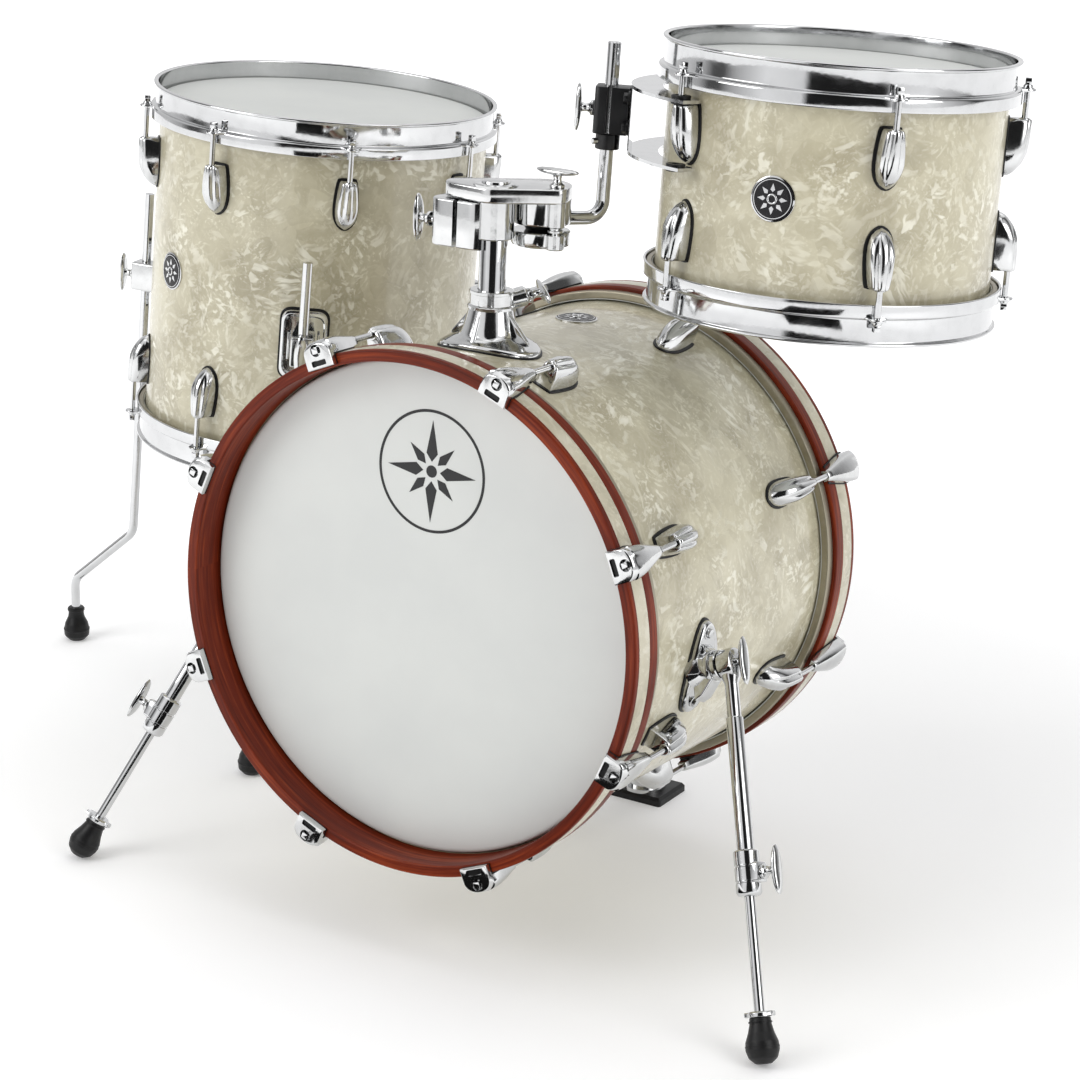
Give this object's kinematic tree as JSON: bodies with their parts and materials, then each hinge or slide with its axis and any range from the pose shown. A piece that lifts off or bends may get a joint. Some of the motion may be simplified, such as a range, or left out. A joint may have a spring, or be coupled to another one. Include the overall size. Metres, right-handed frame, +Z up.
{
  "type": "acoustic drum kit",
  "caption": "Small acoustic drum kit: bass drum on two spurs and a riser, rack tom on a post-mounted arm and a floor tom on three sliding legs.",
  "frame": {"origin": "on the floor, under the middle of the foot of the riser behind the bass drum", "axes": "+Z up; -Y towards the audience, along the bass drum; +X towards the audience's right, so the floor tom is at -X"},
  "size_m": [1.213, 0.8286, 0.8379],
  "materials": {
    "pearl_wrap": "marine pearl wrap, glossy",
    "mahogany": "gloss lacquer",
    "inlay": "pearl inlay, glossy",
    "head": "coated film, matte",
    "chrome": "polished",
    "rubber": "matte",
    "black_plastic": "satin",
    "badge": "black and silver"
  },
  "bodies": {
    "kit": {"bass_shell": "pearl_wrap", "bass_hoops": "mahogany", "bass_hoop_inlays": "inlay", "bass_front_head": "head", "bass_batter_head": "head", "bass_lugs": "chrome", "bass_gaskets": "rubber", "bass_claws": "chrome", "bass_tension_rods": "chrome", "bass_badge": "badge", "bass_riser": "chrome", "bass_riser_foot": "rubber", "spur_brackets": "chrome", "post_base": "chrome"},
    "base_wing": {"post_base_wing_bolt": "chrome"},
    "spur_right": {"spur_tube_right": "chrome"},
    "spur_rod_right": {"spur_rod_right": "chrome"},
    "spur_foot_right": {"spur_foot_right": "rubber"},
    "spur_wing_right": {"spur_wing_bolt_right": "chrome"},
    "spur_lock_right": {"spur_lock_bolt_right": "chrome"},
    "spur_left": {"spur_tube_left": "chrome"},
    "spur_rod_left": {"spur_rod_left": "chrome"},
    "spur_foot_left": {"spur_foot_left": "rubber"},
    "spur_wing_left": {"spur_wing_bolt_left": "chrome"},
    "spur_lock_left": {"spur_lock_bolt_left": "chrome"},
    "post": {"tom_post": "chrome"},
    "holder": {"holder_body": "chrome", "holder_caps": "chrome"},
    "holder_left_wing": {"holder_left_bolt": "chrome"},
    "holder_right_wing": {"holder_right_bolt": "chrome"},
    "ball": {"holder_ball": "black_plastic"},
    "arm_rod": {"l_rod": "chrome"},
    "lock": {"memory_lock": "black_plastic"},
    "tom": {"tom_shell": "pearl_wrap", "tom_hoops": "chrome", "tom_heads": "head", "tom_lugs": "chrome", "tom_gaskets": "rubber", "tom_tension_rods": "chrome", "tom_suspension": "chrome", "tom_mount_clamp": "black_plastic", "tom_badge": "badge"},
    "tom_wing": {"tom_mount_wing_bolt": "chrome"},
    "floor_tom": {"floor_shell": "pearl_wrap", "floor_hoops": "chrome", "floor_heads": "head", "floor_lugs": "chrome", "floor_gaskets": "rubber", "floor_tension_rods": "chrome", "floor_leg_brackets": "chrome", "floor_badge": "badge"},
    "floor_leg_1": {"floor_leg_1": "chrome", "floor_foot_1": "rubber"},
    "floor_wing_1": {"floor_wing_bolt_1": "chrome"},
    "floor_leg_2": {"floor_leg_2": "chrome", "floor_foot_2": "rubber"},
    "floor_wing_2": {"floor_wing_bolt_2": "chrome"},
    "floor_leg_3": {"floor_leg_3": "chrome", "floor_foot_3": "rubber"},
    "floor_wing_3": {"floor_wing_bolt_3": "chrome"}
  },
  "joints": [
    {"name": "post_base_wing_turn", "type": "hinge", "parent": "kit", "child": "base_wing", "pos_m": [0.02334, -0.2922, 0.59831], "axis": [0.683, 0.6937, 0.2288], "range_deg": [0, 360]},
    {"name": "spur_fold_right", "type": "hinge", "parent": "kit", "child": "spur_right", "pos_m": [0.262, -0.32243, 0.30333], "axis": [0.9276, 0.0163, 0.3732], "range_deg": [0, 110]},
    {"name": "spur_rod_slide_right", "type": "slide", "parent": "spur_right", "child": "spur_rod_right", "axis": [0.3484, -0.3981, -0.8486], "range_m": [-0.05, 0.03]},
    {"name": "spur_foot_screw_right", "type": "slide", "parent": "spur_rod_right", "child": "spur_foot_right", "axis": [-0.3484, 0.3981, 0.8486], "range_m": [0, 0.012]},
    {"name": "spur_wing_turn_right", "type": "hinge", "parent": "spur_right", "child": "spur_wing_right", "pos_m": [0.34141, -0.39703, 0.14939], "axis": [0.9276, 0.0163, 0.3732], "range_deg": [0, 360]},
    {"name": "spur_lock_turn_right", "type": "hinge", "parent": "kit", "child": "spur_lock_right", "pos_m": [0.262, -0.32243, 0.30333], "axis": [0.9276, 0.0163, 0.3732], "range_deg": [0, 360]},
    {"name": "spur_fold_left", "type": "hinge", "parent": "kit", "child": "spur_left", "pos_m": [-0.262, -0.32243, 0.30333], "axis": [0.9276, -0.0163, -0.3732], "range_deg": [0, 36]},
    {"name": "spur_rod_slide_left", "type": "slide", "parent": "spur_left", "child": "spur_rod_left", "axis": [-0.3484, -0.3981, -0.8486], "range_m": [-0.05, 0.03]},
    {"name": "spur_foot_screw_left", "type": "slide", "parent": "spur_rod_left", "child": "spur_foot_left", "axis": [0.3484, 0.3981, 0.8486], "range_m": [0, 0.012]},
    {"name": "spur_wing_turn_left", "type": "hinge", "parent": "spur_left", "child": "spur_wing_left", "pos_m": [-0.34141, -0.39703, 0.14939], "axis": [-0.9276, 0.0163, 0.3732], "range_deg": [0, 360]},
    {"name": "spur_lock_turn_left", "type": "hinge", "parent": "kit", "child": "spur_lock_left", "pos_m": [-0.262, -0.32243, 0.30333], "axis": [-0.9276, 0.0163, 0.3732], "range_deg": [0, 360]},
    {"name": "post_height", "type": "slide", "parent": "kit", "child": "post", "axis": [0, 0.0436, 0.999], "range_m": [-0.015, 0.06]},
    {"name": "holder_swivel", "type": "hinge", "parent": "post", "child": "holder", "pos_m": [0, -0.31745, 0.55487], "axis": [0, 0.0436, 0.999], "range_deg": [-30, 30]},
    {"name": "holder_left_wing_turn", "type": "hinge", "parent": "holder", "child": "holder_left_wing", "pos_m": [-0.058, -0.32666, 0.66488], "axis": [-1, 0, 0], "range_deg": [0, 360]},
    {"name": "holder_right_wing_turn", "type": "hinge", "parent": "holder", "child": "holder_right_wing", "pos_m": [0.04829, -0.28475, 0.69958], "axis": [0, 0.0436, 0.999], "range_deg": [0, 360]},
    {"name": "ball_yaw", "type": "hinge", "parent": "holder", "child": "ball", "pos_m": [0.02491, -0.27266, 0.66702], "axis": [0.0157, 0.0687, 0.9975], "range_deg": [-10, 10]},
    {"name": "arm_roll", "type": "hinge", "parent": "ball", "child": "arm_rod", "pos_m": [0.02491, -0.27266, 0.66702], "axis": [0.5297, 0.8456, -0.0666], "range_deg": [-10, 10]},
    {"name": "tom_height", "type": "slide", "parent": "arm_rod", "child": "lock", "axis": [0.0157, 0.0687, 0.9975], "range_m": [-0.013, 0.03]},
    {"name": "tom_swivel", "type": "hinge", "parent": "lock", "child": "tom", "pos_m": [0.05748, -0.22066, 0.66293], "axis": [0.0157, 0.0687, 0.9975], "range_deg": [-30, 30]},
    {"name": "tom_wing_turn", "type": "hinge", "parent": "tom", "child": "tom_wing", "pos_m": [0.04687, -0.21965, 0.76242], "axis": [-0.9016, -0.4303, 0.0439], "range_deg": [0, 360]},
    {"name": "floor_tom_place", "type": "slide", "parent": "kit", "child": "floor_tom", "axis": [-1, 0, 0], "range_m": [0, 0.25]},
    {"name": "floor_leg_slide_1", "type": "slide", "parent": "floor_tom", "child": "floor_leg_1", "axis": [0.0569, 0.0429, 0.9975], "range_m": [-0.04, 0.05]},
    {"name": "floor_wing_turn_1", "type": "hinge", "parent": "floor_tom", "child": "floor_wing_1", "pos_m": [-0.36899, -0.10547, 0.44286], "axis": [0.5465, -0.8374, 0.0049], "range_deg": [0, 360]},
    {"name": "floor_leg_slide_2", "type": "slide", "parent": "floor_tom", "child": "floor_leg_2", "axis": [0.0569, 0.0429, 0.9975], "range_m": [-0.04, 0.05]},
    {"name": "floor_wing_turn_2", "type": "hinge", "parent": "floor_tom", "child": "floor_wing_2", "pos_m": [-0.69851, 0.02731, 0.45593], "axis": [-0.9721, -0.2256, 0.0651], "range_deg": [0, 360]},
    {"name": "floor_leg_slide_3", "type": "slide", "parent": "floor_tom", "child": "floor_leg_3", "axis": [0.0569, 0.0429, 0.9975], "range_m": [-0.04, 0.05]},
    {"name": "floor_wing_turn_3", "type": "hinge", "parent": "floor_tom", "child": "floor_wing_3", "pos_m": [-0.40011, 0.27439, 0.4283], "axis": [0.4031, 0.913, -0.0622], "range_deg": [0, 360]}
  ]
}
